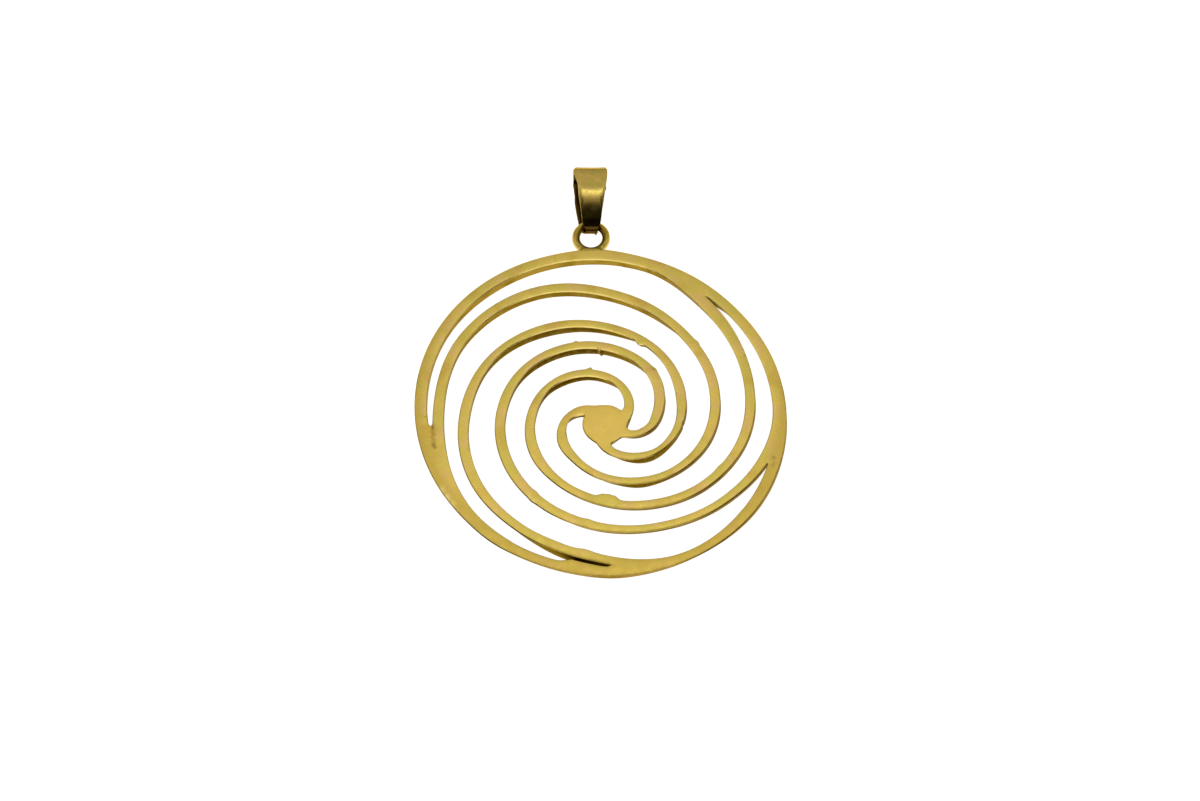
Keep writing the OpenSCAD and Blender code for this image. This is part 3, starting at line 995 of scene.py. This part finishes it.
def disc_brass():
    f = Finish("disc_brass")
    depth = f.attribute("depth")
    base = clouded(f, GOLDEN, DISC_CLOUDS)
    rim_from, rim_to = (r * MM for r in RIM_TONE_R)
    rim_share = f.ramp(f.radius(RIM_X, RIM_Y + RIM_TONE_UP), rim_from, rim_to, 0, RIM_TONE_SHARE)
    base = f.mix(rim_share, base, RIM_TONE)
    hub_from, hub_to = (r * MM for r in HUB_TONE_R)
    base = f.mix(f.ramp(f.radius(0, 0), hub_from, hub_to, HUB_TONE_SHARE, 0), base, HUB_TONE)
    # The walls' browns: partly tarnish, partly painted shade
    base = f.mix(f.ramp(depth, *WALL_FADE), base, f.mix(f.uneven(*WALL_PATCHES), WALL_SHADE_BROWN, WALL_SHADE_GOLD))
    # Painted highlight on the slopes and glints, faded out on the walls
    highlight = f.math("MULTIPLY", f.attribute("painted_highlight"), f.uneven(*HIGHLIGHT_PATCHES))
    base = f.mix(f.math("MULTIPLY", highlight, f.ramp(depth, *WALL_FADE, 1, 0)), base, HIGHLIGHT_BRASS)
    # Real stains, and painted shade of walls and edges
    base = f.mix(f.math("MULTIPLY", f.attribute("stain_and_shade"), f.uneven(*STAIN_SHADE_PATCHES)), base, TARNISH_AND_SHADE)
    rough = f.math("ADD", f.uneven(*DISC_ROUGHNESS), f.ramp(depth, *WALL_ROUGH_FADE, 0, WALL_ROUGH))
    return bare_metal(f, base, rough, DISC_RELIEF)


def bail_brass():
    f = Finish("bail_brass")
    base = clouded(f, BAIL_BASE, BAIL_CLOUDS)
    # Painted shade, which the bail's paint gives as its depth share
    base = f.mix(f.attribute("depth"), base, f.mix(f.uneven(*BAIL_SHADE_PATCHES), BAIL_SHADE_BROWN, BAIL_SHADE_DARK))
    # Painted highlight along the crease
    highlight = f.math("MULTIPLY", f.attribute("painted_highlight"), f.uneven(*BAIL_HIGHLIGHT_PATCHES))
    base = f.mix(highlight, base, BAIL_HIGHLIGHT_BRASS)
    # More painted shade
    base = f.mix(f.attribute("stain_and_shade"), base, TARNISH_AND_SHADE)
    return bare_metal(f, base, f.uneven(*BAIL_ROUGHNESS), BAIL_RELIEF)


disc = plate()
loop_ring = ring()
strap = bail()
PIECES = [
    (disc, "spiral_disc", "disc_brass"),
    (loop_ring, "spiral_disc", "disc_brass"),
    (strap, "bail", "bail_brass"),
]
finishes = {"disc_brass": disc_brass(), "bail_brass": bail_brass()}
for piece, node, slot in PIECES:
    piece.data.materials.append(finishes[slot])
    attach(piece, "root")
    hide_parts(node)

# Camera: the photo looks down on the table from 61 degrees above it, at the middle of the plate's top,
# which it shows at this pixel; its focal length is in pixels too
CAM_ELEV = radians(61)
CAM_FAR = 300
AIM = (RIM_X, RIM_Y, PLATE_T)
AIM_PX = (600.3, 406.9)
PHOTO_W, PHOTO_H = 1200, 801
FOCAL_PX = 2232
SENSOR_MM = 36
CLIP_FROM_MM = 10
# The pale floor, which glows so that it is as white as in the photo: half size in metres, grey, roughness
# and glow
FLOOR_HALF, FLOOR_GREY, FLOOR_ROUGH, FLOOR_GLOW = 2.0, 0.6, 0.8, 0.94
# Softboxes, a metre from the pendant: direction counted from the back, lowest and highest elevation, half
# width, in degrees, and how bright the box looks
SOFTBOXES = {
    "back_low": (0, 8, 52, 40, 0.46),
    "back_softbox": (0, 52, 67, 40, 0.53),
    "back_glow": (0, 57.5, 64, 6, 0.4),
    "back_strip": (0, 67, 77, 65, 1.5),
    "back_fade": (0, 77, 91, 60, 0.38),
    "left_softbox": (80, 3, 50, 28, 0.6),
    "right_softbox": (-80, 3, 50, 28, 0.5),
    "front_softbox": (180, 8, 48, 40, 1.0),
}
# The sky: strength of the background's own dark grey below and above two heights of a unit direction
SKY_FROM, SKY_TO = 0.5, 0.95
SKY_LOW, SKY_HIGH = 0.3, 0.5


def camera():
    cam = bpy.data.cameras.new("camera")
    cam.sensor_fit = "HORIZONTAL"
    cam.sensor_width = SENSOR_MM
    cam.lens = FOCAL_PX * SENSOR_MM / PHOTO_W
    cam.shift_x = (PHOTO_W / 2 - AIM_PX[0]) / PHOTO_W
    cam.shift_y = (AIM_PX[1] - PHOTO_H / 2) / PHOTO_W
    cam.clip_start = CLIP_FROM_MM * MM
    obj = bpy.data.objects.new("camera", cam)
    x, y, z = AIM
    obj.location = [MM * c for c in (x, y - CAM_FAR * cos(CAM_ELEV), z + CAM_FAR * sin(CAM_ELEV))]
    obj.rotation_euler = (pi / 2 - CAM_ELEV, 0, 0)
    bpy.context.scene.collection.objects.link(obj)
    bpy.context.scene.camera = obj


def floor():
    mesh = bpy.data.meshes.new("floor")
    corners = [(FLOOR_HALF * x, FLOOR_HALF * y, 0) for x, y in ((-1, -1), (1, -1), (1, 1), (-1, 1))]
    mesh.from_pydata(corners, [], [(0, 1, 2, 3)])
    obj = bpy.data.objects.new("floor", mesh)
    bpy.context.scene.collection.objects.link(obj)
    mat = bpy.data.materials.new("pale_floor")
    mat.use_nodes = True
    shader = mat.node_tree.nodes["Principled BSDF"]
    shader.inputs["Base Color"].default_value = (FLOOR_GREY, FLOOR_GREY, FLOOR_GREY, 1)
    shader.inputs["Roughness"].default_value = FLOOR_ROUGH
    shader.inputs["Specular IOR Level"].default_value = 0
    shader.inputs["Emission Color"].default_value = (1, 1, 1, 1)
    shader.inputs["Emission Strength"].default_value = FLOOR_GLOW
    mesh.materials.append(mat)


def softbox(name, turn, low, high, half_wide, bright):
    up, side = radians(low + high) / 2, radians(turn)
    data = bpy.data.lights.new(name, "AREA")
    data.shape = "RECTANGLE"
    data.size = 2 * tan(radians(half_wide)) * cos(up)
    data.size_y = 2 * tan(radians(high - low) / 2)
    data.energy = bright * pi * data.size * data.size_y
    obj = bpy.data.objects.new(name, data)
    obj.location = (-sin(side) * cos(up), cos(side) * cos(up), sin(up))
    obj.rotation_euler = (-obj.location).to_track_quat("-Z", "Y").to_euler()
    bpy.context.scene.collection.objects.link(obj)


def studio():
    """A dark room, a little lighter overhead"""
    world = bpy.data.worlds.new("studio")
    world.use_nodes = True
    nodes, links = world.node_tree.nodes, world.node_tree.links
    way = nodes.new("ShaderNodeSeparateXYZ")
    links.new(nodes.new("ShaderNodeTexCoord").outputs["Generated"], way.inputs["Vector"])
    fade = nodes.new("ShaderNodeMapRange")
    set_ends(fade, SKY_FROM, SKY_TO, SKY_LOW, SKY_HIGH)
    links.new(way.outputs["Z"], fade.inputs["Value"])
    links.new(fade.outputs["Result"], nodes["Background"].inputs["Strength"])
    bpy.context.scene.world = world


camera()
floor()
for name, numbers in SOFTBOXES.items():
    softbox(name, *numbers)
studio()
bpy.context.scene.view_settings.view_transform = "Standard"
